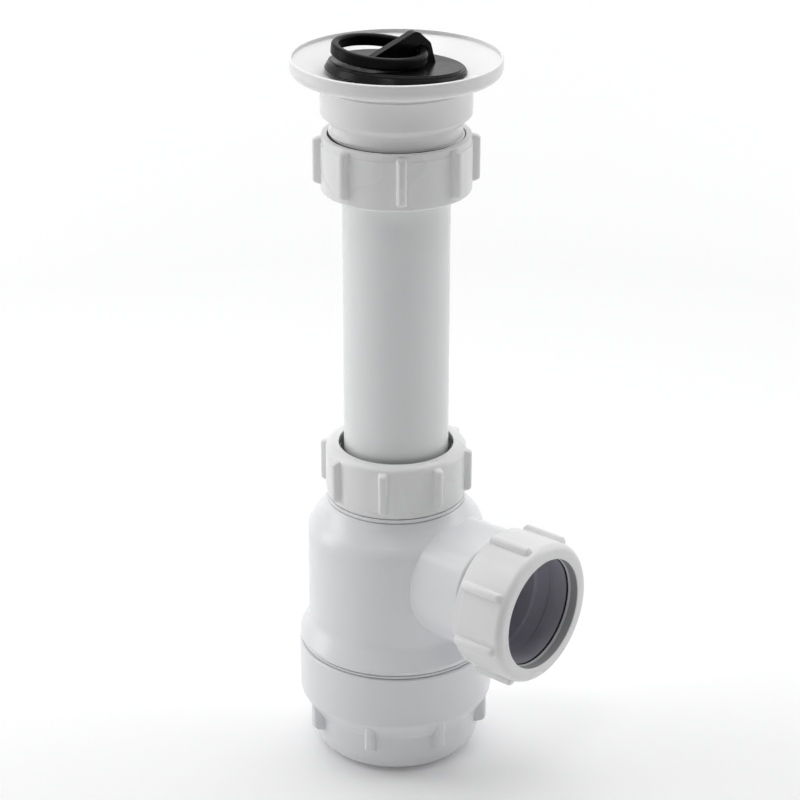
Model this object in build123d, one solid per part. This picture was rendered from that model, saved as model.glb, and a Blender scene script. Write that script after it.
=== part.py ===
from build123d import *
import math
import os

# Basin trap: a bottle trap with its flanged waste, plug and pull ring.
# Millimetres. Z is up, the origin is the middle of the cup's flat base,
# and the outlet points along +X.

# Cup, the screwed bottom of the bottle
cup_band_wall = 2.95
cup_band_start = 22.6
cup_band_round = 3.0
cup_rim_round = 0.8
cup_neck_set_in = 4.0
cup_neck_height = 15.6
cup_neck_round = 1.2
cup_taper = 1.0
cup_base_round = 8.0
cup_height = 41.7
cup_floor = 3.0
cup_wall = 2.3
cup_rib_count = 8
cup_rib_height = 3.3
cup_rib_width = 3.6
cup_rib_bottom = 12.0
cup_rib_turn = 23.8

# Bottle body with its side outlet
body_radius = 31.1
body_wall = 2.3
spigot_wall = 2.5
spigot_engagement = 17.3
joint_line = 2.0
cup_seal_thickness = 2.0
skirt_set_in = 0.2
skirt_edge = 1.2
skirt_edge_round = 1.0
skirt_flare = 7.2
skirt_flare_round = 6.0
shoulder_rise = 0.5
shoulder_flat = 0.8
outlet_rise = 28.9
branch_radius = 20.5
branch_wall = 3.0
branch_length = 44.0
branch_corner_round = 14.5
branch_end_round = 0.8
outlet_pipe_radius = 19.05
outlet_thread_wall = 3.2
outlet_thread_length = 15.0
pipe_socket_depth = 10.5

# Neck of the bottle body
neck_thread_wall = 3.7
neck_length = 18.0
neck_collar_radius = 24.3
neck_collar_thickness = 1.2
neck_collar_gap = 0.3

# Dip tube
tube_radius = 18.2
tube_wall = 1.8
tube_bottom = 15.5
tube_length = 200.6
tube_flange_width = 3.7
tube_flange_thickness = 2.2

# Coupling nuts at the neck, the tail and the outlet
nut_rib_count = 8
nut_wall = 2.35
nut_lip = 3.2
nut_foot_band = 2.6
nut_foot_step = 0.3
nut_edge_round = 0.25
nut_rib_round = 1.2
nut_rib_slope = 1.8
neck_nut_height = 19.0
neck_nut_bevel = 2.6
neck_rib_foot = 2.1
neck_rib_top = 1.6
neck_rib_height = 2.4
neck_rib_width = 3.4
neck_rib_turn = 29.8
tail_nut_height = 19.2
tail_nut_bevel = 1.0
tail_rib_foot = 0.8
tail_rib_top = 2.9
tail_rib_height = 3.0
tail_rib_width = 3.8
tail_rib_turn = 43.7
outlet_nut_height = 20.0
outlet_nut_bevel = 2.6
outlet_rib_foot = 1.0
outlet_rib_top = 2.6
outlet_rib_height = 2.0
outlet_rib_width = 3.2
outlet_rib_turn = 12.3

# Seals and slip rings
slip_ring_thickness = 1.6
seal_flange = 2.0
seal_depth = 5.2
seal_foot = 1.2
seal_rim_wall = 1.2
seal_lip = 1.1
seal_lip_rise = 2.8
washer_thickness = 1.8

# Clearances, and the depth of a thread, whose winding itself is left out
thread_depth = 0.6
thread_clearance = 0.35
pipe_clearance = 0.3
tube_clearance = 0.4
running_clearance = 0.07
soft_clearance = 0.3
fastener_clearance = 0.05
opening_clearance = 0.55

# How far a cutting solid runs past the face that it opens
cut_overlap = 1.0

# Waste body, the lower half of the waste
tail_seat_margin = 0.7
tail_wall = 3.2
boss_set_out = 2.6
boss_wall = 2.9
boss_rise = 19.1
boss_length = 9.7
boss_foot_round = 1.2
boss_root_round = 2.2
socket_rise = 0.6
bridge_rise = 10.1
bridge_thickness = 3.2
bridge_width = 7.0
bridge_hub_radius = 7.6

# Flanged waste, the upper half
flange_radius = 35.0
flange_thickness = 6.0
flange_edge_round = 3.0
lip_width = 0.8
lip_height = 1.2
lip_round = 0.3
plug_shelf_rise = 0.8
plug_shelf_margin = 0.6
gasket_thickness = 1.5
gasket_recess = 0.4
waste_spigot_wall = 3.2
waste_spigot_depth = 11.0
grid_thickness = 2.4
grid_bar_width = 2.6
grid_bar_count = 6
grid_hub_radius = 6.0

# Clamp screw and its captive nut
screw_radius = 3.0
screw_head_radius = 5.4
screw_head_height = 3.0
screw_slot_width = 1.4
screw_slot_depth = 1.5
screw_overrun = 3.0
captive_nut_flats = 10.0
captive_nut_height = 5.0
captive_pocket_depth = 3.4

# Plug, which sits askew in its hole, pushed in at the back and raised at the front
plug_tilt = 5.5
plug_rim_overlap = 3.6
plug_rim_thickness = 0.7
plug_rim_round = 0.3
plug_rim_step = 0.8
plug_disc_height = 0.3
plug_disc_round = 0.2
plug_body_depth = 6.0
plug_body_clearance = 0.4
plug_body_taper = 1.0
plug_wall = 1.6
plug_skin = 2.0

# Lug on the plug, a triangular fin with an eye for the ring
lug_turn = 65.0
lug_thickness = 3.6
lug_back = 13.0
lug_front = 13.3
lug_apex_offset = 5.9
lug_height = 10.7
lug_shoulder_offset = 11.1
lug_shoulder_height = 6.6
lug_round = 2.6
eye_offset = 8.0
eye_height = 3.5
eye_radius = 2.5

# Pull ring
ring_radius = 14.5
ring_thickness = 2.6
ring_band = 4.0
ring_round = 0.9
ring_tilt = 0.5
ring_roll = 5.0

# Places worked out from the sizes above
skirt_bottom = cup_height + joint_line
body_bottom = skirt_bottom - spigot_engagement
cup_ledge = body_bottom - cup_seal_thickness
spigot_outer = body_radius - body_wall + spigot_wall
cup_thread_radius = spigot_outer + thread_clearance
cup_band_radius = cup_thread_radius + cup_band_wall
cup_neck_radius = cup_band_radius - cup_neck_set_in
cup_base_radius = cup_neck_radius - cup_taper
skirt_radius = cup_band_radius - skirt_set_in
outlet_height = skirt_bottom + outlet_rise
shoulder_height = outlet_height + branch_radius + shoulder_rise
neck_height = shoulder_height + neck_length
neck_thread_radius = tube_radius + neck_thread_wall
neck_core_radius = neck_thread_radius - thread_depth
shoulder_round = body_radius - neck_core_radius - shoulder_flat
neck_bore_radius = tube_radius + tube_clearance
neck_slip_bottom = neck_height + seal_flange
neck_lip_underside = neck_slip_bottom + slip_ring_thickness
neck_nut_top = neck_lip_underside + nut_lip
neck_collar_top = neck_nut_top - neck_nut_height - neck_collar_gap
outlet_thread_radius = outlet_pipe_radius + outlet_thread_wall
outlet_core_radius = outlet_thread_radius - thread_depth
outlet_socket_radius = outlet_pipe_radius + tube_clearance
outlet_end = branch_length + outlet_thread_length
outlet_slip_start = outlet_end + seal_flange
outlet_nut_end = outlet_slip_start + slip_ring_thickness + nut_lip
tube_top = tube_bottom + tube_length
tube_flange_bottom = tube_top - tube_flange_thickness
tail_nut_bottom = tube_flange_bottom - nut_lip
tube_flange_radius = tube_radius + tube_flange_width
tube_bore_radius = tube_radius - tube_wall
tail_end = tube_top + washer_thickness
tail_thread_radius = tube_flange_radius + tail_seat_margin
tail_core_radius = tail_thread_radius - thread_depth
tail_bore_radius = tail_thread_radius - tail_wall
boss_radius = tail_thread_radius + boss_set_out
spigot_radius = boss_radius - boss_wall - pipe_clearance
bridge_height = tail_end + bridge_rise
boss_bottom = tail_end + boss_rise
boss_top = boss_bottom + boss_length
socket_floor = boss_bottom + socket_rise
flange_gasket_bottom = boss_top + gasket_thickness
flange_underside = flange_gasket_bottom + gasket_thickness
flange_top = flange_underside + flange_thickness
plug_shelf_height = flange_underside + plug_shelf_rise
waste_spigot_bottom = flange_underside - waste_spigot_depth
waste_spigot_bore = spigot_radius - waste_spigot_wall
waste_socket_radius = spigot_radius + pipe_clearance
grid_top = waste_spigot_bottom + grid_thickness
plug_rim_radius = waste_spigot_bore + plug_rim_overlap
plug_disc_radius = plug_rim_radius - plug_rim_step
captive_nut_bottom = bridge_height - captive_nut_height
plug_thickness = plug_rim_thickness + plug_disc_height
plug_raise = plug_rim_radius * math.sin(math.radians(plug_tilt))
plug_top = plug_shelf_height + plug_thickness + plug_raise


def turned(outline, rounds=()):
    """A solid turned about Z from points of radius and height, with chosen corners rounded."""
    face = Sketch() + make_face(Polyline(*outline, close=True))
    for corner, radius in rounds:
        vertex = face.vertices().sort_by_distance(Vector(*corner))[0]
        face = fillet(vertex, radius)
    return revolve(Plane.XZ * face, Axis.Z, 360)


def flat_ring(inner, outer, bottom, top):
    """A plain flat ring about Z."""
    return turned([(inner, bottom), (outer, bottom), (outer, top), (inner, top)])


def rod(radius, bottom, top):
    """A cylinder about Z between two heights."""
    return Pos(0, 0, bottom) * Cylinder(radius, top - bottom, align=(Align.CENTER, Align.CENTER, Align.MIN))


def along_outlet(solid):
    """Lay a solid that was made about Z along the outlet's axis."""
    return Pos(0, 0, outlet_height) * Rot(0, 90, 0) * solid


def grip_rib(inner, outer, width, bottom, top):
    """One moulded grip rib, standing out along X, with sloped ends and round edges."""
    outline = Polyline(
        (inner, bottom - nut_rib_slope),
        (outer, bottom),
        (outer, top),
        (inner, top + nut_rib_slope),
        close=True,
    )
    rib = extrude(Plane.XZ * make_face(outline), amount=width / 2, both=True)
    return fillet(rib.faces().sort_by(Axis.X)[-1].edges(), nut_rib_round)


def repeated(solid, count, turn):
    """The same solid repeated evenly about Z, the first one turned from X."""
    return [Rot(0, 0, turn + i * 360 / count) * solid for i in range(count)]


def coupling_nut(height, thread_radius, opening, bevel):
    """A coupling nut without its ribs, open at its stepped foot, with an inward lip at its head."""
    bore = thread_radius + thread_clearance
    radius = bore + nut_wall
    foot_radius = radius - nut_foot_step
    return turned(
        [
            (bore, 0),
            (foot_radius, 0),
            (foot_radius, nut_foot_band - nut_foot_step),
            (radius, nut_foot_band),
            (radius, height),
            (opening, height),
            (opening, height - nut_lip),
            (bore, height - nut_lip),
        ],
        [
            ((foot_radius, 0), nut_edge_round),
            ((radius, height), bevel),
            ((opening, height), nut_edge_round),
        ],
    )


def nut_ribs(height, thread_radius, rib_height, rib_width, rib_foot, rib_top, rib_turn):
    """The grip ribs of a coupling nut, set into its wall."""
    middle = thread_radius + thread_clearance + nut_wall / 2
    outer = middle + nut_wall / 2 + rib_height
    rib = grip_rib(middle, outer, rib_width, rib_foot, height - rib_top)
    return repeated(rib, nut_rib_count, rib_turn)


def compression_seal(pipe_radius, thread_radius, lip_rise):
    """A tapered rubber seal: its cone sits below height zero, its flange and lip above."""
    inner = pipe_radius + running_clearance
    outline = [
        (inner, soft_clearance - seal_depth),
        (pipe_radius + seal_foot - soft_clearance, soft_clearance - seal_depth),
        (thread_radius - seal_rim_wall - soft_clearance, 0),
        (thread_radius - soft_clearance, 0),
        (thread_radius - soft_clearance, seal_flange),
    ]
    if lip_rise > 0:
        outline += [
            (inner + seal_lip, seal_flange),
            (inner + seal_lip, seal_flange + lip_rise),
        ]
    outline.append((inner, seal_flange + lip_rise))
    return turned(outline)


def branch_bar():
    """The branch's outside about Z: round below and squared out with rounded corners above."""
    upper = Pos(-branch_radius / 2, 0) * Rectangle(branch_radius, 2 * branch_radius)
    upper = fillet(upper.vertices().sort_by(Axis.X)[:2], branch_corner_round)
    bar = extrude(Circle(branch_radius) + upper, amount=branch_length)
    return fillet(bar.faces().sort_by(Axis.Z)[-1].edges(), branch_end_round)


def seal_seat(pipe_radius, thread_radius, bore, end):
    """The space that a compression seal's cone takes in the end of a threaded mouth."""
    return turned(
        [
            (0, end - seal_depth),
            (pipe_radius + seal_foot, end - seal_depth),
            (thread_radius - seal_rim_wall, end),
            (thread_radius - seal_rim_wall, end + cut_overlap),
            (0, end + cut_overlap),
        ]
    ) + rod(bore, end - seal_depth - cut_overlap, end)


def make_bottle_cup():
    neck_bore = cup_neck_radius - cup_wall
    base_bore = cup_base_radius - cup_wall
    shell = turned(
        [
            (0, 0),
            (cup_base_radius, 0),
            (cup_neck_radius, cup_neck_height),
            (cup_band_radius, cup_band_start),
            (cup_band_radius, cup_height),
            (cup_thread_radius, cup_height),
            (cup_thread_radius, cup_ledge),
            (neck_bore, cup_ledge),
            (neck_bore, cup_neck_height),
            (base_bore, cup_floor),
            (0, cup_floor),
        ],
        [
            ((cup_base_radius, 0), cup_base_round),
            ((cup_neck_radius, cup_neck_height), cup_neck_round),
            ((cup_band_radius, cup_band_start), cup_band_round),
            ((cup_band_radius, cup_height), cup_rim_round),
            ((base_bore, cup_floor), cup_base_round - cup_wall),
        ],
    )
    rib = grip_rib(
        cup_neck_radius - cup_wall / 2,
        cup_neck_radius + cup_rib_height,
        cup_rib_width,
        cup_rib_bottom,
        cup_band_start,
    )
    return shell + repeated(rib, cup_rib_count, cup_rib_turn)


def make_cup_seal():
    inner = body_radius - body_wall
    outer = cup_thread_radius - soft_clearance
    return flat_ring(inner, outer, cup_ledge, body_bottom)


def make_bottle_body():
    edge_top = skirt_bottom + skirt_edge
    flare_top = edge_top + skirt_flare
    cavity_radius = body_radius - body_wall
    cavity_top = shoulder_height - body_wall
    outside = turned(
        [
            (0, body_bottom),
            (spigot_outer - thread_depth, body_bottom),
            (spigot_outer - thread_depth, skirt_bottom),
            (skirt_radius, skirt_bottom),
            (skirt_radius, edge_top),
            (body_radius, flare_top),
            (body_radius, shoulder_height),
            (neck_core_radius, shoulder_height),
            (neck_core_radius, neck_height),
            (0, neck_height),
        ],
        [
            ((skirt_radius, edge_top), skirt_edge_round),
            ((body_radius, flare_top), skirt_flare_round),
            ((body_radius, shoulder_height), shoulder_round),
        ],
    )
    cavity = turned(
        [
            (0, body_bottom),
            (cavity_radius, body_bottom),
            (cavity_radius, cavity_top),
            (neck_bore_radius, cavity_top),
            (neck_bore_radius, neck_height),
            (0, neck_height),
        ],
        [((cavity_radius, cavity_top), shoulder_round - body_wall)],
    )
    outside += along_outlet(branch_bar())
    outlet_mouth = rod(outlet_core_radius, branch_length, outlet_end)
    neck_collar = rod(neck_collar_radius, neck_collar_top - neck_collar_thickness, neck_collar_top)
    branch_bore = rod(branch_radius - branch_wall, 0, outlet_end)
    pipe_socket = rod(outlet_socket_radius, outlet_end - pipe_socket_depth, outlet_end)
    neck_seat = seal_seat(tube_radius, neck_thread_radius, neck_bore_radius, neck_height)
    outlet_seat = seal_seat(outlet_pipe_radius, outlet_thread_radius, outlet_socket_radius, outlet_end)
    hollow = cavity + neck_seat + along_outlet(branch_bore + pipe_socket + outlet_seat)
    return outside + along_outlet(outlet_mouth) + neck_collar - hollow


def make_neck_seal():
    return Pos(0, 0, neck_height) * compression_seal(tube_radius, neck_thread_radius, seal_lip_rise)


def make_neck_slip_ring():
    inner = tube_radius + running_clearance + seal_lip + soft_clearance
    return flat_ring(inner, neck_thread_radius, neck_slip_bottom, neck_lip_underside)


def make_neck_nut():
    opening = tube_radius + running_clearance + seal_lip + 2 * soft_clearance
    nut = coupling_nut(neck_nut_height, neck_thread_radius, opening, neck_nut_bevel)
    nut += nut_ribs(
        neck_nut_height,
        neck_thread_radius,
        neck_rib_height,
        neck_rib_width,
        neck_rib_foot,
        neck_rib_top,
        neck_rib_turn,
    )
    return Pos(0, 0, neck_nut_top - neck_nut_height) * nut


def make_outlet_seal():
    return along_outlet(Pos(0, 0, outlet_end) * compression_seal(outlet_pipe_radius, outlet_thread_radius, 0))


def make_outlet_slip_ring():
    ring = flat_ring(
        outlet_socket_radius, outlet_thread_radius, outlet_slip_start, outlet_slip_start + slip_ring_thickness
    )
    return along_outlet(ring)


def make_outlet_nut():
    opening = outlet_pipe_radius + opening_clearance
    nut = coupling_nut(outlet_nut_height, outlet_thread_radius, opening, outlet_nut_bevel)
    nut += nut_ribs(
        outlet_nut_height,
        outlet_thread_radius,
        outlet_rib_height,
        outlet_rib_width,
        outlet_rib_foot,
        outlet_rib_top,
        outlet_rib_turn,
    )
    return along_outlet(Pos(0, 0, outlet_nut_end - outlet_nut_height) * nut)


def make_dip_tube():
    return turned(
        [
            (tube_bore_radius, tube_bottom),
            (tube_radius, tube_bottom),
            (tube_radius, tube_flange_bottom),
            (tube_flange_radius, tube_flange_bottom),
            (tube_flange_radius, tube_top),
            (tube_bore_radius, tube_top),
        ]
    )


def make_tail_nut():
    nut = coupling_nut(tail_nut_height, tail_thread_radius, tube_radius + tube_clearance, tail_nut_bevel)
    nut += nut_ribs(
        tail_nut_height,
        tail_thread_radius,
        tail_rib_height,
        tail_rib_width,
        tail_rib_foot,
        tail_rib_top,
        -tail_rib_turn,
    )
    return Pos(0, 0, tail_nut_bottom + tail_nut_height) * Rot(180, 0, 0) * nut


def make_tail_washer():
    return flat_ring(tube_bore_radius, tube_flange_radius, tube_top, tail_end)


def make_waste_body():
    tail_top = boss_bottom - boss_radius + tail_thread_radius
    shell = turned(
        [
            (tail_bore_radius, tail_end),
            (tail_core_radius, tail_end),
            (tail_core_radius, tail_top),
            (boss_radius, boss_bottom),
            (boss_radius, boss_top),
            (waste_socket_radius, boss_top),
            (waste_socket_radius, socket_floor),
            (tail_bore_radius, socket_floor + tail_bore_radius - waste_socket_radius),
        ],
        [
            ((tail_core_radius, tail_top), boss_root_round),
            ((boss_radius, boss_bottom), boss_foot_round),
        ],
    )
    bridge_top = bridge_height + bridge_thickness
    bar_length = 2 * tail_bore_radius + tail_wall
    bar = Pos(0, 0, (bridge_height + bridge_top) / 2) * Box(bar_length, bridge_width, bridge_thickness)
    hub = rod(bridge_hub_radius, bridge_height - captive_pocket_depth, bridge_top)
    pocket_flats = captive_nut_flats + 2 * fastener_clearance
    pocket = Pos(0, 0, bridge_height - captive_pocket_depth) * hexagon_bar(pocket_flats, captive_pocket_depth)
    screw_hole = rod(screw_radius + fastener_clearance, bridge_height, bridge_top)
    return shell + bar + hub - pocket - screw_hole


def hexagon_bar(across_flats, height):
    """A hexagonal bar standing on height zero, measured across its flats."""
    return extrude(RegularPolygon(across_flats / 2, 6, major_radius=False), amount=height)


def make_waste_flange():
    shelf_radius = plug_rim_radius + plug_shelf_margin
    lip_inner = flange_radius - lip_width
    dish = turned(
        [
            (waste_spigot_bore, waste_spigot_bottom),
            (spigot_radius, waste_spigot_bottom),
            (spigot_radius, flange_underside),
            (flange_radius, flange_underside),
            (flange_radius, flange_top),
            (lip_inner, flange_top),
            (lip_inner, flange_top - lip_height),
            (shelf_radius, plug_shelf_height),
            (waste_spigot_bore, plug_shelf_height),
        ],
        [
            ((flange_radius, flange_underside), flange_edge_round),
            ((flange_radius, flange_top), lip_round),
        ],
    )
    bar_length = waste_spigot_bore + waste_spigot_wall / 2
    bar = Pos(bar_length / 2, 0, waste_spigot_bottom + grid_thickness / 2) * Box(
        bar_length, grid_bar_width, grid_thickness
    )
    hub = rod(grid_hub_radius, waste_spigot_bottom, grid_top)
    screw_hole = rod(screw_radius + fastener_clearance, waste_spigot_bottom, grid_top)
    return dish + hub + repeated(bar, grid_bar_count, 0) - screw_hole


def make_gasket(bottom):
    return flat_ring(waste_socket_radius, boss_radius - gasket_recess, bottom, bottom + gasket_thickness)


def make_clamp_screw():
    screw_bottom = captive_nut_bottom - screw_overrun
    head_top = grid_top + screw_head_height
    slot = Pos(0, 0, head_top - screw_slot_depth / 2) * Box(
        2 * screw_head_radius, screw_slot_width, screw_slot_depth
    )
    return rod(screw_radius, screw_bottom, grid_top) + rod(screw_head_radius, grid_top, head_top) - slot


def make_captive_nut():
    nut = Pos(0, 0, captive_nut_bottom) * hexagon_bar(captive_nut_flats, captive_nut_height)
    return nut - rod(screw_radius + fastener_clearance, captive_nut_bottom, bridge_height)


def in_plug_frame(solid):
    """Turn a solid from the plug's own frame, height zero at its top, to its place in the hole."""
    return Pos(0, 0, plug_top) * Rot(-plug_tilt, 0, 0) * solid


def in_lug_frame(solid):
    """Turn a solid from the lug's own frame, X along the fin, to its place on the plug."""
    return in_plug_frame(Rot(0, 0, lug_turn) * solid)


def make_plug():
    body_top = waste_spigot_bore - plug_body_clearance
    body_foot = body_top - plug_body_taper
    foot_height = -plug_thickness - plug_body_depth
    disc = turned(
        [
            (0, 0),
            (plug_disc_radius, 0),
            (plug_disc_radius, -plug_disc_height),
            (plug_rim_radius, -plug_disc_height),
            (plug_rim_radius, -plug_thickness),
            (body_top, -plug_thickness),
            (body_foot, foot_height),
            (body_foot - plug_wall, foot_height),
            (body_foot - plug_wall, -plug_skin),
            (0, -plug_skin),
        ],
        [
            ((plug_rim_radius, -plug_disc_height), plug_rim_round),
            ((plug_disc_radius, 0), plug_disc_round),
        ],
    )
    fin_outline = Sketch() + make_face(
        Polyline(
            (-lug_back, 0),
            (-lug_back, -plug_skin / 2),
            (lug_front, -plug_skin / 2),
            (lug_front, 0),
            (lug_shoulder_offset, lug_shoulder_height),
            (lug_apex_offset, lug_height),
            close=True,
        )
    )
    apex = fin_outline.vertices().sort_by_distance(Vector(lug_apex_offset, lug_height))[0]
    fin_outline = fillet(apex, lug_round)
    shoulder = fin_outline.vertices().sort_by_distance(Vector(lug_shoulder_offset, lug_shoulder_height))[0]
    fin_outline = fillet(shoulder, lug_round)
    fin_outline -= Pos(eye_offset, eye_height) * Circle(eye_radius)
    fin = extrude(Plane.XZ * fin_outline, amount=lug_thickness / 2, both=True)
    return in_plug_frame(disc) + in_lug_frame(fin)


def make_plug_ring():
    section = Pos(ring_radius, 0) * RectangleRounded(ring_thickness, ring_band, ring_round)
    ring = revolve(Plane.XZ * section, Axis.Z, 360)
    hung = Pos(eye_offset, 0, eye_height) * Rot(ring_roll, ring_tilt, 0) * Pos(-ring_radius, 0, 0) * ring
    return in_lug_frame(hung)


def main():
    os.makedirs("parts", exist_ok=True)
    solids = {
        "bottle_cup": make_bottle_cup(),
        "cup_seal": make_cup_seal(),
        "bottle_body": make_bottle_body(),
        "outlet_seal": make_outlet_seal(),
        "outlet_slip_ring": make_outlet_slip_ring(),
        "outlet_nut": make_outlet_nut(),
        "neck_seal": make_neck_seal(),
        "neck_slip_ring": make_neck_slip_ring(),
        "neck_nut": make_neck_nut(),
        "dip_tube": make_dip_tube(),
        "tail_washer": make_tail_washer(),
        "tail_nut": make_tail_nut(),
        "waste_body": make_waste_body(),
        "body_gasket": make_gasket(boss_top),
        "flange_gasket": make_gasket(flange_gasket_bottom),
        "waste_flange": make_waste_flange(),
        "clamp_screw": make_clamp_screw(),
        "captive_nut": make_captive_nut(),
        "plug": make_plug(),
        "plug_ring": make_plug_ring(),
    }
    for name, solid in solids.items():
        export_step(solid, f"parts/{name}.step")


main()
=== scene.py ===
import math

import bmesh
import bpy
from mathutils import Matrix, Vector


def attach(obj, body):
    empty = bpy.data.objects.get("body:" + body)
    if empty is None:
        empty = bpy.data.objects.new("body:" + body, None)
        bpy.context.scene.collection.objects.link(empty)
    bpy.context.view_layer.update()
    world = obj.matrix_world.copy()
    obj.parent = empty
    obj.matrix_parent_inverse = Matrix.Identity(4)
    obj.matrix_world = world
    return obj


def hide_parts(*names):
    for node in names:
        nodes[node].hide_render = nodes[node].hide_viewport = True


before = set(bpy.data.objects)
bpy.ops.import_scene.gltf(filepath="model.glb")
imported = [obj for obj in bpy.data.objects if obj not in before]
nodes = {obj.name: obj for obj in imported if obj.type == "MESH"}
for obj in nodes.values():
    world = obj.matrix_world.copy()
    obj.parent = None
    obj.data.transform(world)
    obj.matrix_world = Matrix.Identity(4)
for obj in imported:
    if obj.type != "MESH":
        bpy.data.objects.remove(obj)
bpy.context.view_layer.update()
bpy.context.scene.view_settings.view_transform = "Standard"

# Taken from the solids, in metres
OUTLET_HEIGHT = 0.0726

# Camera: the photograph's viewpoint, worked out from the rims, nuts and cup
CAMERA_AZIMUTH = 40.0
CAMERA_DISTANCE = 0.7418
CAMERA_HEIGHT = 0.4604
CAMERA_PITCH = 23.78
CAMERA_YAW = 0.103
CAMERA_ROLL = 0.115
CAMERA_LENS = 105.4


def make_camera():
    azimuth = math.radians(CAMERA_AZIMUTH)
    data = bpy.data.cameras.new("camera")
    data.lens = CAMERA_LENS
    data.sensor_width = 36.0
    data.clip_start = 0.01
    data.clip_end = 20.0
    camera = bpy.data.objects.new("camera", data)
    bpy.context.scene.collection.objects.link(camera)
    camera.location = (
        CAMERA_DISTANCE * math.sin(azimuth),
        -CAMERA_DISTANCE * math.cos(azimuth),
        CAMERA_HEIGHT,
    )
    turn = Matrix.Rotation(math.radians(CAMERA_AZIMUTH - CAMERA_YAW), 4, "Z")
    tilt = Matrix.Rotation(math.radians(90.0 - CAMERA_PITCH), 4, "X")
    roll = Matrix.Rotation(math.radians(CAMERA_ROLL), 4, "Z")
    camera.rotation_euler = (turn @ tilt @ roll).to_euler()
    bpy.context.scene.camera = camera


make_camera()


# Node helpers for the materials
def new_material(name):
    material = bpy.data.materials.new(name)
    material.use_nodes = True
    tree = material.node_tree
    shader = tree.nodes["Principled BSDF"]
    return material, tree, shader


def add_noise(tree, scale, detail, roughness, stretch=(1.0, 1.0, 1.0)):
    coordinates = tree.nodes.new("ShaderNodeTexCoord")
    mapping = tree.nodes.new("ShaderNodeMapping")
    mapping.inputs["Scale"].default_value = stretch
    noise = tree.nodes.new("ShaderNodeTexNoise")
    noise.inputs["Scale"].default_value = scale
    noise.inputs["Detail"].default_value = detail
    noise.inputs["Roughness"].default_value = roughness
    tree.links.new(coordinates.outputs["Object"], mapping.inputs["Vector"])
    tree.links.new(mapping.outputs["Vector"], noise.inputs["Vector"])
    return noise.outputs["Fac"]


def add_range(tree, value, low, high, start=0.3, end=0.7):
    span = tree.nodes.new("ShaderNodeMapRange")
    span.inputs["From Min"].default_value = start
    span.inputs["From Max"].default_value = end
    span.inputs["To Min"].default_value = low
    span.inputs["To Max"].default_value = high
    tree.links.new(value, span.inputs["Value"])
    return span.outputs["Result"]


def add_ramp(tree, value, first, second, start=0.3, end=0.7):
    ramp = tree.nodes.new("ShaderNodeValToRGB")
    ramp.color_ramp.elements[0].position = start
    ramp.color_ramp.elements[0].color = (*first, 1.0)
    ramp.color_ramp.elements[1].position = end
    ramp.color_ramp.elements[1].color = (*second, 1.0)
    tree.links.new(value, ramp.inputs["Fac"])
    return ramp.outputs["Color"]


def add_bump(tree, height, strength, distance, below=None):
    bump = tree.nodes.new("ShaderNodeBump")
    bump.inputs["Strength"].default_value = strength
    bump.inputs["Distance"].default_value = distance
    tree.links.new(height, bump.inputs["Height"])
    if below is not None:
        tree.links.new(below, bump.inputs["Normal"])
    return bump.outputs["Normal"]


SURFACE_IOR = 1.5


def moulded_plastic(name, tint, shade, rough_low, rough_high, grain):
    """Glossy injection-moulded plastic: faint cloudiness, slow sink waves and a fine mould grain."""
    material, tree, shader = new_material(name)
    clouds = add_noise(tree, scale=30.0, detail=1.0, roughness=0.4)
    colour = add_ramp(tree, clouds, shade, tint, start=0.2, end=0.8)
    tree.links.new(colour, shader.inputs["Base Color"])
    haze = add_noise(tree, scale=40.0, detail=1.0, roughness=0.4)
    polish = add_range(tree, haze, rough_low, rough_high, start=0.1, end=0.9)
    tree.links.new(polish, shader.inputs["Roughness"])
    sinks = add_noise(tree, scale=40.0, detail=0.0, roughness=0.0)
    waves = add_bump(tree, sinks, strength=0.1, distance=0.0003)
    grit = add_noise(tree, scale=2600.0, detail=2.0, roughness=0.5)
    fine = add_bump(tree, grit, strength=grain, distance=0.00005, below=waves)
    tree.links.new(fine, shader.inputs["Normal"])
    shader.inputs["IOR"].default_value = SURFACE_IOR
    return material


# Painted shade inside the outlet: a bluish darkening, by distance from its axis and distance out from
# the bottle's axis
BORE_PAINTED_SHADE = (0.5, 0.49, 0.55, 1.0)
BORE_PAINTED_SHADE_RADIUS = 0.0196
BORE_PLAIN_RADIUS = 0.0199
BORE_PAINTED_SHADE_START = 0.029
BORE_PAINTED_SHADE_FULL = 0.03


def paint_outlet_bore_shade(material):
    """Gives a material of the bottle a darker bluish tint inside the outlet's bore, which is painted
    shade.
    """
    tree = material.node_tree
    shader = tree.nodes["Principled BSDF"]
    plain = shader.inputs["Base Color"].links[0].from_socket
    coordinates = tree.nodes.new("ShaderNodeTexCoord")
    place = tree.nodes.new("ShaderNodeVectorMath")
    place.operation = "SUBTRACT"
    place.inputs[1].default_value = (0.0, 0.0, OUTLET_HEIGHT)
    across = tree.nodes.new("ShaderNodeVectorMath")
    across.operation = "MULTIPLY"
    across.inputs[1].default_value = (0.0, 1.0, 1.0)
    reach = tree.nodes.new("ShaderNodeVectorMath")
    reach.operation = "LENGTH"
    parts = tree.nodes.new("ShaderNodeSeparateXYZ")
    tree.links.new(coordinates.outputs["Object"], place.inputs[0])
    tree.links.new(place.outputs["Vector"], across.inputs[0])
    tree.links.new(across.outputs["Vector"], reach.inputs[0])
    tree.links.new(coordinates.outputs["Object"], parts.inputs["Vector"])
    near = add_range(
        tree, reach.outputs["Value"], low=1.0, high=0.0, start=BORE_PAINTED_SHADE_RADIUS, end=BORE_PLAIN_RADIUS
    )
    deep = add_range(
        tree, parts.outputs["X"], low=0.0, high=1.0, start=BORE_PAINTED_SHADE_START, end=BORE_PAINTED_SHADE_FULL
    )
    both = tree.nodes.new("ShaderNodeMath")
    both.operation = "MULTIPLY"
    tree.links.new(near, both.inputs[0])
    tree.links.new(deep, both.inputs[1])
    mix = tree.nodes.new("ShaderNodeMix")
    mix.data_type = "RGBA"
    tree.links.new(both.outputs["Value"], mix.inputs["Factor"])
    tree.links.new(plain, mix.inputs["A"])
    mix.inputs["B"].default_value = BORE_PAINTED_SHADE
    tree.links.new(mix.outputs["Result"], shader.inputs["Base Color"])


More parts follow.
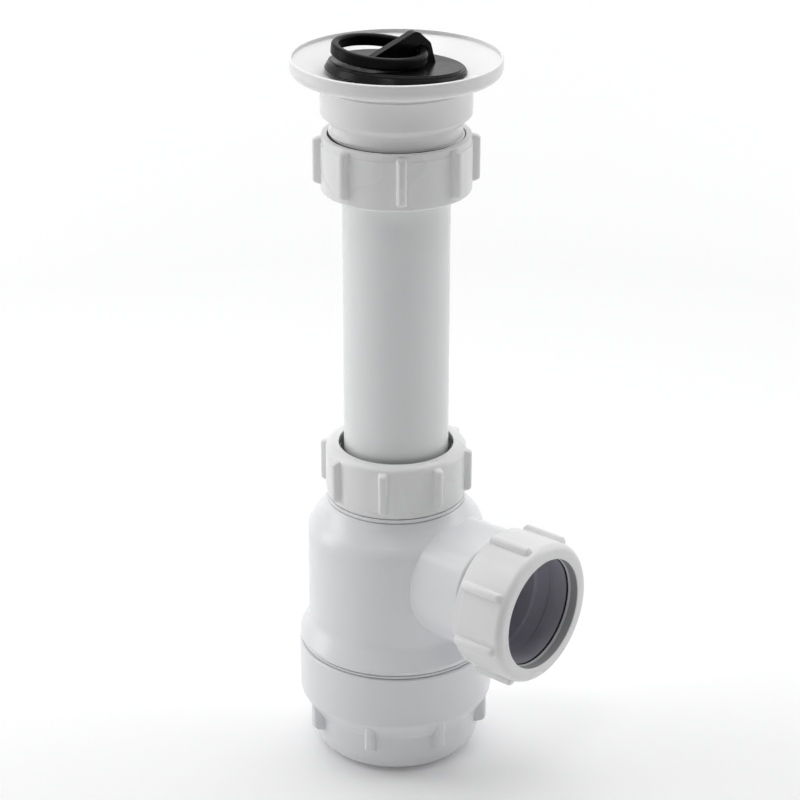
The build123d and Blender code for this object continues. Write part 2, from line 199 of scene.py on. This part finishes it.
def black_rubber(name, tint, shade, rough_low, rough_high, gloss):
    """Soft rubber with a dull bloom and a fine grain; gloss is its specular level."""
    material, tree, shader = new_material(name)
    bloom = add_noise(tree, scale=160.0, detail=6.0, roughness=0.65)
    colour = add_ramp(tree, bloom, shade, tint, start=0.35, end=0.75)
    tree.links.new(colour, shader.inputs["Base Color"])
    patches = add_noise(tree, scale=220.0, detail=3.0, roughness=0.5)
    tree.links.new(add_range(tree, patches, rough_low, rough_high), shader.inputs["Roughness"])
    dents = add_noise(tree, scale=180.0, detail=1.0, roughness=0.4)
    waves = add_bump(tree, dents, strength=0.06, distance=0.0002)
    grit = add_noise(tree, scale=3000.0, detail=3.0, roughness=0.6)
    fine = add_bump(tree, grit, strength=0.25, distance=0.00004, below=waves)
    tree.links.new(fine, shader.inputs["Normal"])
    shader.inputs["IOR"].default_value = SURFACE_IOR
    shader.inputs["Specular IOR Level"].default_value = gloss
    return material


def bright_metal(name, tint, shade):
    """Turned metal for the clamp screw and its nut."""
    material, tree, shader = new_material(name)
    streaks = add_noise(tree, scale=900.0, detail=4.0, roughness=0.6, stretch=(1.0, 1.0, 0.15))
    tree.links.new(add_ramp(tree, streaks, shade, tint), shader.inputs["Base Color"])
    tree.links.new(add_range(tree, streaks, low=0.22, high=0.38), shader.inputs["Roughness"])
    tree.links.new(add_bump(tree, streaks, strength=0.3, distance=0.00004), shader.inputs["Normal"])
    shader.inputs["Metallic"].default_value = 1.0
    return material


# The bottle has the body's plastic with painted shade added inside the outlet
body_look = {
    "tint": (0.845, 0.85, 0.87),
    "shade": (0.835, 0.84, 0.86),
    "rough_low": 0.22,
    "rough_high": 0.28,
    "grain": 0.06,
}
body_plastic = moulded_plastic("body_plastic", **body_look)
bottle_plastic_painted_shade = moulded_plastic("bottle_plastic_painted_shade", **body_look)
paint_outlet_bore_shade(bottle_plastic_painted_shade)
nut_plastic = moulded_plastic(
    "nut_plastic",
    tint=(0.85, 0.855, 0.845),
    shade=(0.84, 0.845, 0.835),
    rough_low=0.25,
    rough_high=0.31,
    grain=0.1,
)
tube_plastic = moulded_plastic(
    "tube_plastic",
    tint=(0.845, 0.855, 0.855),
    shade=(0.835, 0.845, 0.845),
    rough_low=0.22,
    rough_high=0.28,
    grain=0.06,
)
waste_plastic = moulded_plastic(
    "waste_plastic",
    tint=(0.87, 0.87, 0.865),
    shade=(0.86, 0.86, 0.855),
    rough_low=0.18,
    rough_high=0.24,
    grain=0.05,
)
washer_plastic = moulded_plastic(
    "washer_plastic",
    tint=(0.78, 0.79, 0.79),
    shade=(0.76, 0.77, 0.77),
    rough_low=0.4,
    rough_high=0.48,
    grain=0.2,
)
# Grey for the inside of the nuts' bores, which is painted shade on the nuts' white plastic
nut_bore_painted_shade = moulded_plastic(
    "nut_bore_painted_shade",
    tint=(0.4, 0.4, 0.41),
    shade=(0.37, 0.37, 0.38),
    rough_low=0.4,
    rough_high=0.5,
    grain=0.1,
)
outlet_rubber = black_rubber(
    "outlet_rubber",
    tint=(0.44, 0.43, 0.49),
    shade=(0.4, 0.39, 0.445),
    rough_low=0.45,
    rough_high=0.6,
    gloss=0.4,
)
seal_rubber = black_rubber(
    "seal_rubber",
    tint=(0.012, 0.0125, 0.0125),
    shade=(0.007, 0.007, 0.007),
    rough_low=0.42,
    rough_high=0.58,
    gloss=0.3,
)
plug_rubber = black_rubber(
    "plug_rubber",
    tint=(0.006, 0.0062, 0.0062),
    shade=(0.003, 0.0032, 0.0032),
    rough_low=0.18,
    rough_high=0.26,
    gloss=0.11,
)
ring_rubber = black_rubber(
    "ring_rubber",
    tint=(0.004, 0.0042, 0.0042),
    shade=(0.002, 0.002, 0.002),
    rough_low=0.26,
    rough_high=0.34,
    gloss=0.06,
)
# Near-black for the painted shadow in the gap round the tail's thread
thread_gap_painted_shadow = black_rubber(
    "thread_gap_painted_shadow",
    tint=(0.06, 0.06, 0.075),
    shade=(0.04, 0.04, 0.05),
    rough_low=0.5,
    rough_high=0.6,
    gloss=0.3,
)
steel = bright_metal("steel", tint=(0.6, 0.6, 0.58), shade=(0.42, 0.42, 0.41))
brass = bright_metal("brass", tint=(0.72, 0.56, 0.28), shade=(0.58, 0.44, 0.2))

finishes = {
    "bottle_cup": body_plastic,
    "bottle_body": bottle_plastic_painted_shade,
    "cup_seal": seal_rubber,
    "outlet_seal": outlet_rubber,
    "outlet_slip_ring": washer_plastic,
    "outlet_nut": nut_plastic,
    "neck_seal": seal_rubber,
    "neck_slip_ring": washer_plastic,
    "neck_nut": nut_plastic,
    "dip_tube": tube_plastic,
    "tail_washer": seal_rubber,
    "tail_nut": nut_plastic,
    "waste_body": waste_plastic,
    "body_gasket": washer_plastic,
    "flange_gasket": washer_plastic,
    "waste_flange": waste_plastic,
    "clamp_screw": steel,
    "captive_nut": brass,
    "plug": plug_rubber,
    "plug_ring": ring_rubber,
}
for name, material in finishes.items():
    mesh = nodes[name].data
    mesh.materials.clear()
    mesh.materials.append(material)


# Mesh helpers; every length is in metres
SHARP_ANGLE = math.radians(35.0)


def add_piece(name, points, faces, materials, body, inner_faces=()):
    """A closed mesh that rides on a body; inner_faces take the second material."""
    mesh = bpy.data.meshes.new(name)
    mesh.from_pydata(points, [], faces)
    for material in materials:
        mesh.materials.append(material)
    for index in inner_faces:
        mesh.polygons[index].material_index = 1
    build = bmesh.new()
    build.from_mesh(mesh)
    bmesh.ops.recalc_face_normals(build, faces=build.faces)
    build.to_mesh(mesh)
    build.free()
    mesh.polygons.foreach_set("use_smooth", [True] * len(mesh.polygons))
    mesh.set_sharp_from_angle(angle=SHARP_ANGLE)
    piece = bpy.data.objects.new(name, mesh)
    bpy.context.scene.collection.objects.link(piece)
    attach(piece, body)
    return piece


def rounded_outline(corners, steps=6):
    """A closed outline of radius and height, each corner given with its own rounding."""
    outline = []
    count = len(corners)
    for i in range(count):
        here = Vector(corners[i][:2])
        radius = corners[i][2]
        if radius == 0.0:
            outline.append(here)
            continue
        back = (Vector(corners[i - 1][:2]) - here).normalized()
        ahead = (Vector(corners[(i + 1) % count][:2]) - here).normalized()
        half = back.angle(ahead) / 2.0
        reach = radius / math.tan(half)
        centre = here + (back + ahead).normalized() * radius / math.sin(half)
        first = here + back * reach - centre
        last = here + ahead * reach - centre
        for k in range(steps + 1):
            share = k / steps
            outline.append(centre + (first * (1.0 - share) + last * share).normalized() * radius)
    return [tuple(point) for point in outline]


def lathe(outline, segments=144):
    """Points and faces of a closed outline of radius and height turned about Z."""
    points = []
    faces = []
    size = len(outline)
    for i in range(segments):
        angle = 2.0 * math.pi * i / segments
        for radius, height in outline:
            points.append((radius * math.cos(angle), radius * math.sin(angle), height))
        after = (i + 1) % segments
        for k in range(size):
            n = (k + 1) % size
            faces.append((i * size + k, after * size + k, after * size + n, i * size + n))
    return points, faces


def along_outlet(points):
    """Points made about Z, set about the outlet's axis instead."""
    return [(z, y, OUTLET_HEIGHT - x) for x, y, z in points]


def square_ring(inner, outer, low, high):
    """The outline of a plain ring."""
    return [(inner, low), (outer, low), (outer, high), (inner, high)]


# Grip ribs: how far the ends round over, how deep they sink, and the roundness of their section
RIB_NOSE = 0.0013
RIB_NOSE_SHARES = (0.0, 0.06, 0.2, 0.42, 0.7, 1.0)
RIB_SINK = 0.0006
RIB_END_WIDTH = 0.62
RIB_SIDE_ROUND = 0.72
RIB_CREST_ROUND = 0.62
RIB_STEPS = 18


def grip_bar(outer, width, rise, bottom, top, angle):
    """A moulded grip rib with a soft cross-section and bullnose ends, sunk into a round wall."""
    stations = [(bottom + RIB_NOSE * share, share) for share in RIB_NOSE_SHARES]
    stations += [(top - RIB_NOSE * share, share) for share in reversed(RIB_NOSE_SHARES)]
    size = RIB_STEPS + 1
    points = []
    faces = []
    for height, share in stations:
        lift = math.sqrt(1.0 - (1.0 - share) ** 2)
        half = width / 2.0 * (RIB_END_WIDTH + (1.0 - RIB_END_WIDTH) * lift)
        for k in range(size):
            turn = math.pi * k / RIB_STEPS
            across = half * math.copysign(abs(math.cos(turn)) ** RIB_SIDE_ROUND, math.cos(turn))
            crest = lift * abs(math.sin(turn)) ** RIB_CREST_ROUND
            out = outer - RIB_SINK + (rise + RIB_SINK) * crest
            x = out * math.cos(angle) - across * math.sin(angle)
            y = out * math.sin(angle) + across * math.cos(angle)
            points.append((x, y, height))
    for i in range(len(stations) - 1):
        for k in range(size):
            n = (k + 1) % size
            faces.append((i * size + k, (i + 1) * size + k, (i + 1) * size + n, i * size + n))
    faces.append(tuple(range(size)))
    faces.append(tuple(range((len(stations) - 1) * size, len(stations) * size)))
    return points, faces


# Coupling nuts, with softer ribs than the solids have
NUT_WALL = 0.00235
NUT_LIP = 0.0032
NUT_FOOT_BAND = 0.0026
NUT_FOOT_STEP = 0.0003
NUT_FOOT_ROUND = 0.0002
NUT_STEP_ROUND = 0.0001
NUT_EDGE = 0.00035
NUT_BORE_MARGIN = 0.0001
NUT_RIBS = 8


def make_nut(
    name, body, place, height, bore, opening, bevel, rib_rise, rib_width, rib_foot, rib_head, rib_turn
):
    """A nut that stands for its solid: foot at zero, lipped head up, then put in its place."""
    outer = bore + NUT_WALL
    band = outer - NUT_FOOT_STEP
    outline = rounded_outline(
        [
            (bore, 0.0, NUT_FOOT_ROUND),
            (band, 0.0, NUT_EDGE),
            (band, NUT_FOOT_BAND - NUT_FOOT_STEP, 0.0),
            (outer, NUT_FOOT_BAND, NUT_STEP_ROUND),
            (outer, height, bevel),
            (opening, height, NUT_EDGE),
            (opening, height - NUT_LIP, 0.0),
            (bore, height - NUT_LIP, 0.0),
        ]
    )
    points, faces = lathe(outline)
    low = NUT_FOOT_BAND / 2.0
    high = height - NUT_LIP / 2.0
    inner = []
    for index, face in enumerate(faces):
        middle_radius = sum(math.hypot(points[i][0], points[i][1]) for i in face) / len(face)
        middle_height = sum(points[i][2] for i in face) / len(face)
        if middle_radius < bore + NUT_BORE_MARGIN and low < middle_height < high:
            inner.append(index)
    for i in range(NUT_RIBS):
        angle = math.radians(rib_turn + i * 360.0 / NUT_RIBS)
        bar_points, bar_faces = grip_bar(outer, rib_width, rib_rise, rib_foot, height - rib_head, angle)
        start = len(points)
        points += bar_points
        faces += [tuple(start + k for k in face) for face in bar_faces]
    points = [place(x, y, z) for x, y, z in points]
    # The bore's inner faces take the grey of painted shade
    materials = (nut_plastic, nut_bore_painted_shade)
    nut = add_piece(name + "_shape", points, faces, materials, body, inner)
    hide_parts(name)


# Where each nut's foot sits; the tail nut's head points down
NECK_NUT_BOTTOM = 0.0994
TAIL_NUT_TOP = 0.2299
OUTLET_NUT_START = 0.0458


def on_neck(x, y, z):
    return x, y, NECK_NUT_BOTTOM + z


def on_tail(x, y, z):
    return x, -y, TAIL_NUT_TOP - z


def on_outlet(x, y, z):
    return OUTLET_NUT_START + z, y, OUTLET_HEIGHT - x


make_nut(
    "neck_nut",
    "neck_coupling",
    on_neck,
    height=0.019,
    bore=0.02225,
    opening=0.01997,
    bevel=0.0026,
    rib_rise=0.0022,
    rib_width=0.0034,
    rib_foot=0.0019,
    rib_head=0.0015,
    rib_turn=29.8,
)
make_nut(
    "tail_nut",
    "tail_coupling",
    on_tail,
    height=0.0192,
    bore=0.02295,
    opening=0.0186,
    bevel=0.001,
    rib_rise=0.0026,
    rib_width=0.0036,
    rib_foot=0.0008,
    rib_head=0.0022,
    rib_turn=-43.7,
)
make_nut(
    "outlet_nut",
    "outlet_coupling",
    on_outlet,
    height=0.02,
    bore=0.0226,
    opening=0.0196,
    bevel=0.0026,
    rib_rise=0.002,
    rib_width=0.0033,
    rib_foot=0.0009,
    rib_head=0.0024,
    rib_turn=12.3,
)


# Threads, which the solids leave as plain cylinders; the half widths are shares of the pitch
THREAD_DEPTH = 0.0006
THREAD_ROOT_SINK = 0.00005
THREAD_ROOT_HALF = 0.31
THREAD_CREST_HALF = 0.11
THREAD_STEPS = 96
THREAD_LEAST_STEPS = 8
THREAD_FADE = math.radians(35.0)


def helix_ridge(core, start, end, pitch, last_angle):
    """Points and faces of a right-handed ridge about Z, from start to end, fading out at both ends."""
    turns = (end - start) / pitch
    count = max(THREAD_LEAST_STEPS, int(turns * THREAD_STEPS))
    sweep = 2.0 * math.pi * turns
    corners = 4
    points = []
    faces = []
    for i in range(count + 1):
        share = i / count
        angle = last_angle - sweep * (1.0 - share)
        height = start + (end - start) * share
        near_end = min(share, 1.0 - share) * sweep
        root = core - THREAD_ROOT_SINK
        crest = core + THREAD_DEPTH * min(1.0, near_end / THREAD_FADE)
        section = (
            (root, -THREAD_ROOT_HALF * pitch),
            (crest, -THREAD_CREST_HALF * pitch),
            (crest, THREAD_CREST_HALF * pitch),
            (root, THREAD_ROOT_HALF * pitch),
        )
        for radius, shift in section:
            points.append((radius * math.cos(angle), radius * math.sin(angle), height + shift))
        if i:
            first = corners * (i - 1)
            second = corners * i
            for k in range(corners):
                n = (k + 1) % corners
                faces.append((first + k, second + k, second + n, first + n))
    faces.append((3, 2, 1, 0))
    last = corners * count
    faces.append((last, last + 1, last + 2, last + 3))
    return points, faces


def add_thread(name, body, material, core, start, end, pitch, last_degrees, outlet=False):
    """A thread on a body, about the trap's axis or about the outlet's."""
    points, faces = helix_ridge(core, start, end, pitch, math.radians(last_degrees))
    if outlet:
        points = along_outlet(points)
    add_piece(name, points, faces, (material,), body)


add_thread(
    "tail_thread",
    "waste",
    waste_plastic,
    core=0.022,
    start=0.2192,
    end=0.2315,
    pitch=0.003,
    last_degrees=-68.0,
)
add_thread(
    "neck_thread",
    "bottle",
    body_plastic,
    core=0.0213,
    start=0.1008,
    end=0.1104,
    pitch=0.003,
    last_degrees=20.0,
)
add_thread(
    "cup_thread",
    "bottle",
    body_plastic,
    core=0.0307,
    start=0.0283,
    end=0.0412,
    pitch=0.004,
    last_degrees=120.0,
)
add_thread(
    "outlet_thread",
    "bottle",
    body_plastic,
    core=0.02165,
    start=0.0464,
    end=0.0578,
    pitch=0.003,
    last_degrees=80.0,
    outlet=True,
)


# Flare where the shoulder runs up to the neck's collar, as radius and height
neck_flare = [
    (0.0213, 0.092),
    (0.0288, 0.09),
    (0.0288, 0.09055),
    (0.0279, 0.09165),
    (0.0268, 0.0929),
    (0.0258, 0.0942),
    (0.02505, 0.0955),
    (0.0246, 0.0967),
    (0.0244, 0.0973),
    (0.0242, 0.09745),
    (0.0213, 0.09745),
]
points, faces = lathe(neck_flare)
add_piece("neck_flare", points, faces, (body_plastic,), "bottle")

# Stop ring over the cup
STOP_RING_INNER = 0.0306
STOP_RING_OUTER = 0.0338
STOP_RING_LOW = 0.04205
STOP_RING_HIGH = 0.04285
STOP_RING_ROUND = 0.0002
stop_ring = rounded_outline(
    [
        (STOP_RING_INNER, STOP_RING_LOW, 0.0),
        (STOP_RING_OUTER, STOP_RING_LOW, STOP_RING_ROUND),
        (STOP_RING_OUTER, STOP_RING_HIGH, STOP_RING_ROUND),
        (STOP_RING_INNER, STOP_RING_HIGH, 0.0),
    ]
)
points, faces = lathe(stop_ring)
add_piece("stop_ring", points, faces, (body_plastic,), "bottle")

# Dark edge of the outlet's seal by the slip ring, and a dark ring round the tail's thread that is a
# painted shadow of the gap at the tail nut's mouth
points, faces = lathe(square_ring(inner=0.01925, outer=0.01955, low=0.0611, high=0.0617))
add_piece("outlet_seal_edge", along_outlet(points), faces, (seal_rubber,), "outlet_ring")
points, faces = lathe(square_ring(inner=0.0219, outer=0.02235, low=0.2292, high=0.22975))
add_piece("tail_thread_painted_shadow", points, faces, (thread_gap_painted_shadow,), "waste")


# Plug and the dish that it sits in
PLUG_TILT = math.radians(5.5)
PLUG_CENTRE_HEIGHT = 0.25265
PLUG_UNDER_RADIUS = 0.0224
SEAT_RADIUS = 0.023
SEAT_HEIGHT = 0.2505
DISH_RADIUS = 0.0342
DISH_HEIGHT = 0.2545

# Soft lip under the plug's rim, squashed flat on the low side; it spreads and drops where it is raised
LIP_STEPS = 160
LIP_INNER_RADIUS = 0.0205
LIP_EDGE_RADIUS = 0.0229
LIP_SPREAD = 0.0008
LIP_DROP = 0.0019
LIP_CLEARANCE = 0.00045


def dish_height(radius):
    """Height of the flange's dish at a radius outside the plug's seat."""
    share = max(0.0, (radius - SEAT_RADIUS) / (DISH_RADIUS - SEAT_RADIUS))
    return SEAT_HEIGHT + share * (DISH_HEIGHT - SEAT_HEIGHT)


def add_plug_lip():
    points = []
    faces = []
    for i in range(LIP_STEPS):
        angle = 2.0 * math.pi * i / LIP_STEPS
        raised = 0.5 - 0.5 * math.sin(angle)
        edge = LIP_EDGE_RADIUS + LIP_SPREAD * raised
        under = PLUG_CENTRE_HEIGHT - math.tan(PLUG_TILT) * PLUG_UNDER_RADIUS * math.sin(angle)
        low = max(under - LIP_DROP * raised, dish_height(edge) + LIP_CLEARANCE)
        # From the plug's underside out to the lip's edge, and back below it
        section = (
            (LIP_INNER_RADIUS, under + 0.0001),
            (0.0221, under + 0.0003),
            (0.5 * (0.0223 + edge), 0.45 * under + 0.55 * low + 0.0004),
            (edge - 0.0002, low + 0.00015),
            (edge, low - 0.00005),
            (edge - 0.0001, low - 0.0003),
            (edge - 0.0004, low - 0.0004),
            (0.0212, min(under, low) - 0.00025),
            (LIP_INNER_RADIUS, under - 0.0003),
        )
        for radius, height in section:
            points.append((radius * math.cos(angle), radius * math.sin(angle), height))
        size = len(section)
        after = (i + 1) % LIP_STEPS
        for k in range(size):
            n = (k + 1) % size
            faces.append((i * size + k, after * size + k, after * size + n, i * size + n))
    add_piece("plug_lip", points, faces, (plug_rubber,), "waste")


add_plug_lip()


# Bead on the pull ring where it passes through the lug's eye
EYE_CENTRE = (0.0033809, 0.0075526, 0.2564359)
EYE_AXIS = (-0.906308, 0.420672, -0.040506)
BEAD_RADIUS = 0.00235
BEAD_TIP_RADIUS = 0.0001
BEAD_HALF_LENGTH = 0.0028
BEAD_ROUND = 0.7
BEAD_STEPS = 16
BEAD_SEGMENTS = 48


def add_ring_bead():
    outline = []
    for i in range(BEAD_STEPS + 1):
        turn = math.pi * i / BEAD_STEPS
        radius = BEAD_TIP_RADIUS + (BEAD_RADIUS - BEAD_TIP_RADIUS) * math.sin(turn) ** BEAD_ROUND
        outline.append((radius, -BEAD_HALF_LENGTH * math.cos(turn)))
    points, faces = lathe(outline, BEAD_SEGMENTS)
    onto_eye = Vector((0.0, 0.0, 1.0)).rotation_difference(Vector(EYE_AXIS))
    points = [tuple(onto_eye @ Vector(point) + Vector(EYE_CENTRE)) for point in points]
    add_piece("ring_bead", points, faces, (ring_rubber,), "pull_ring")


add_ring_bead()


# Floor and lights: the lifts are the floor's own glow where it is seen, the world lights the object
FLOOR_HALF_SIZE = 6.0
FLOOR_COLOUR = (0.9, 0.9, 0.9, 1.0)
FLOOR_LIFT = 0.09
FLOOR_LIFT_FAR = 0.85
LIFT_GROWS_FROM = 0.5
LIFT_GROWS_TO = 2.0
WORLD_COLOUR = (0.98, 0.985, 1.0, 1.0)
WORLD_FRONT = 0.19
WORLD_BACK = 0.52
WORLD_FALL_START = -0.35
WORLD_FALL_END = 0.75


def add_camera_ray(tree):
    """One for the camera's rays and for those that a glossy or clear surface sends on, else zero."""
    path = tree.nodes.new("ShaderNodeLightPath")
    first = tree.nodes.new("ShaderNodeMath")
    first.operation = "MAXIMUM"
    second = tree.nodes.new("ShaderNodeMath")
    second.operation = "MAXIMUM"
    tree.links.new(path.outputs["Is Camera Ray"], first.inputs[0])
    tree.links.new(path.outputs["Is Glossy Ray"], first.inputs[1])
    tree.links.new(first.outputs["Value"], second.inputs[0])
    tree.links.new(path.outputs["Is Transmission Ray"], second.inputs[1])
    return second.outputs["Value"]


def add_floor():
    mesh = bpy.data.meshes.new("floor")
    build = bmesh.new()
    bmesh.ops.create_grid(build, x_segments=1, y_segments=1, size=FLOOR_HALF_SIZE)
    build.to_mesh(mesh)
    build.free()
    floor = bpy.data.objects.new("floor", mesh)
    bpy.context.scene.collection.objects.link(floor)
    material = bpy.data.materials.new("floor")
    material.use_nodes = True
    tree = material.node_tree
    tree.nodes.clear()
    output = tree.nodes.new("ShaderNodeOutputMaterial")
    paper = tree.nodes.new("ShaderNodeBsdfDiffuse")
    paper.inputs["Color"].default_value = FLOOR_COLOUR
    glow = tree.nodes.new("ShaderNodeEmission")
    coordinates = tree.nodes.new("ShaderNodeTexCoord")
    away = tree.nodes.new("ShaderNodeVectorMath")
    away.operation = "LENGTH"
    tree.links.new(coordinates.outputs["Object"], away.inputs[0])
    level = add_range(
        tree, away.outputs["Value"], FLOOR_LIFT, FLOOR_LIFT_FAR, start=LIFT_GROWS_FROM, end=LIFT_GROWS_TO
    )
    lift = tree.nodes.new("ShaderNodeMath")
    lift.operation = "MULTIPLY"
    tree.links.new(level, lift.inputs[1])
    tree.links.new(add_camera_ray(tree), lift.inputs[0])
    tree.links.new(lift.outputs["Value"], glow.inputs["Strength"])
    both = tree.nodes.new("ShaderNodeAddShader")
    tree.links.new(paper.outputs["BSDF"], both.inputs[0])
    tree.links.new(glow.outputs["Emission"], both.inputs[1])
    tree.links.new(both.outputs["Shader"], output.inputs["Surface"])
    mesh.materials.append(material)


def add_area(name, size_x, size_y, power, place, target):
    data = bpy.data.lights.new(name, "AREA")
    data.shape = "RECTANGLE"
    data.size = size_x
    data.size_y = size_y
    data.energy = power
    light = bpy.data.objects.new(name, data)
    light.location = place
    direction = Vector(target) - Vector(place)
    light.rotation_euler = direction.to_track_quat("-Z", "Y").to_euler()
    bpy.context.scene.collection.objects.link(light)


def from_camera_side(right, toward, up):
    """A point given to the right of the photograph's viewpoint, toward it and up, in metres."""
    azimuth = math.radians(CAMERA_AZIMUTH)
    right_axis = Vector((math.cos(azimuth), math.sin(azimuth), 0.0))
    toward_axis = Vector((math.sin(azimuth), -math.cos(azimuth), 0.0))
    return right * right_axis + toward * toward_axis + Vector((0.0, 0.0, up))


def make_world():
    """A white room that shows white, and lights the object more from behind than from the front."""
    world = bpy.data.worlds.new("world")
    bpy.context.scene.world = world
    world.use_nodes = True
    tree = world.node_tree
    tree.nodes.clear()
    output = tree.nodes.new("ShaderNodeOutputWorld")
    shown = tree.nodes.new("ShaderNodeBackground")
    shown.inputs["Color"].default_value = (1.0, 1.0, 1.0, 1.0)
    shown.inputs["Strength"].default_value = 1.0
    lit = tree.nodes.new("ShaderNodeBackground")
    lit.inputs["Color"].default_value = WORLD_COLOUR
    coordinates = tree.nodes.new("ShaderNodeTexCoord")
    facing = tree.nodes.new("ShaderNodeVectorMath")
    facing.operation = "DOT_PRODUCT"
    facing.inputs[1].default_value = from_camera_side(0.0, -1.0, 0.0)
    fall = tree.nodes.new("ShaderNodeMapRange")
    fall.interpolation_type = "SMOOTHSTEP"
    fall.inputs["From Min"].default_value = WORLD_FALL_START
    fall.inputs["From Max"].default_value = WORLD_FALL_END
    fall.inputs["To Min"].default_value = WORLD_FRONT
    fall.inputs["To Max"].default_value = WORLD_BACK
    tree.links.new(coordinates.outputs["Generated"], facing.inputs[0])
    tree.links.new(facing.outputs["Value"], fall.inputs["Value"])
    tree.links.new(fall.outputs["Result"], lit.inputs["Strength"])
    mix = tree.nodes.new("ShaderNodeMixShader")
    tree.links.new(add_camera_ray(tree), mix.inputs["Fac"])
    tree.links.new(lit.outputs["Background"], mix.inputs[1])
    tree.links.new(shown.outputs["Background"], mix.inputs[2])
    tree.links.new(mix.outputs["Shader"], output.inputs["Surface"])


add_floor()
make_world()

# Lamps, placed as seen from the photograph's viewpoint, all aimed at the trap's middle
middle = (0.0, 0.0, 0.12)
add_area(
    "top_light",
    size_x=1.6,
    size_y=1.1,
    power=11.5,
    place=from_camera_side(0.0, -0.3, 1.3),
    target=middle,
)
add_area(
    "left_light",
    size_x=0.5,
    size_y=1.2,
    power=5.0,
    place=from_camera_side(-1.1, -0.15, 0.5),
    target=middle,
)
add_area(
    "front_light",
    size_x=0.22,
    size_y=0.16,
    power=0.8,
    place=from_camera_side(-0.15, 0.55, 1.15),
    target=middle,
)
add_area(
    "right_light",
    size_x=0.5,
    size_y=1.2,
    power=3.0,
    place=from_camera_side(1.1, -0.3, 0.5),
    target=middle,
)
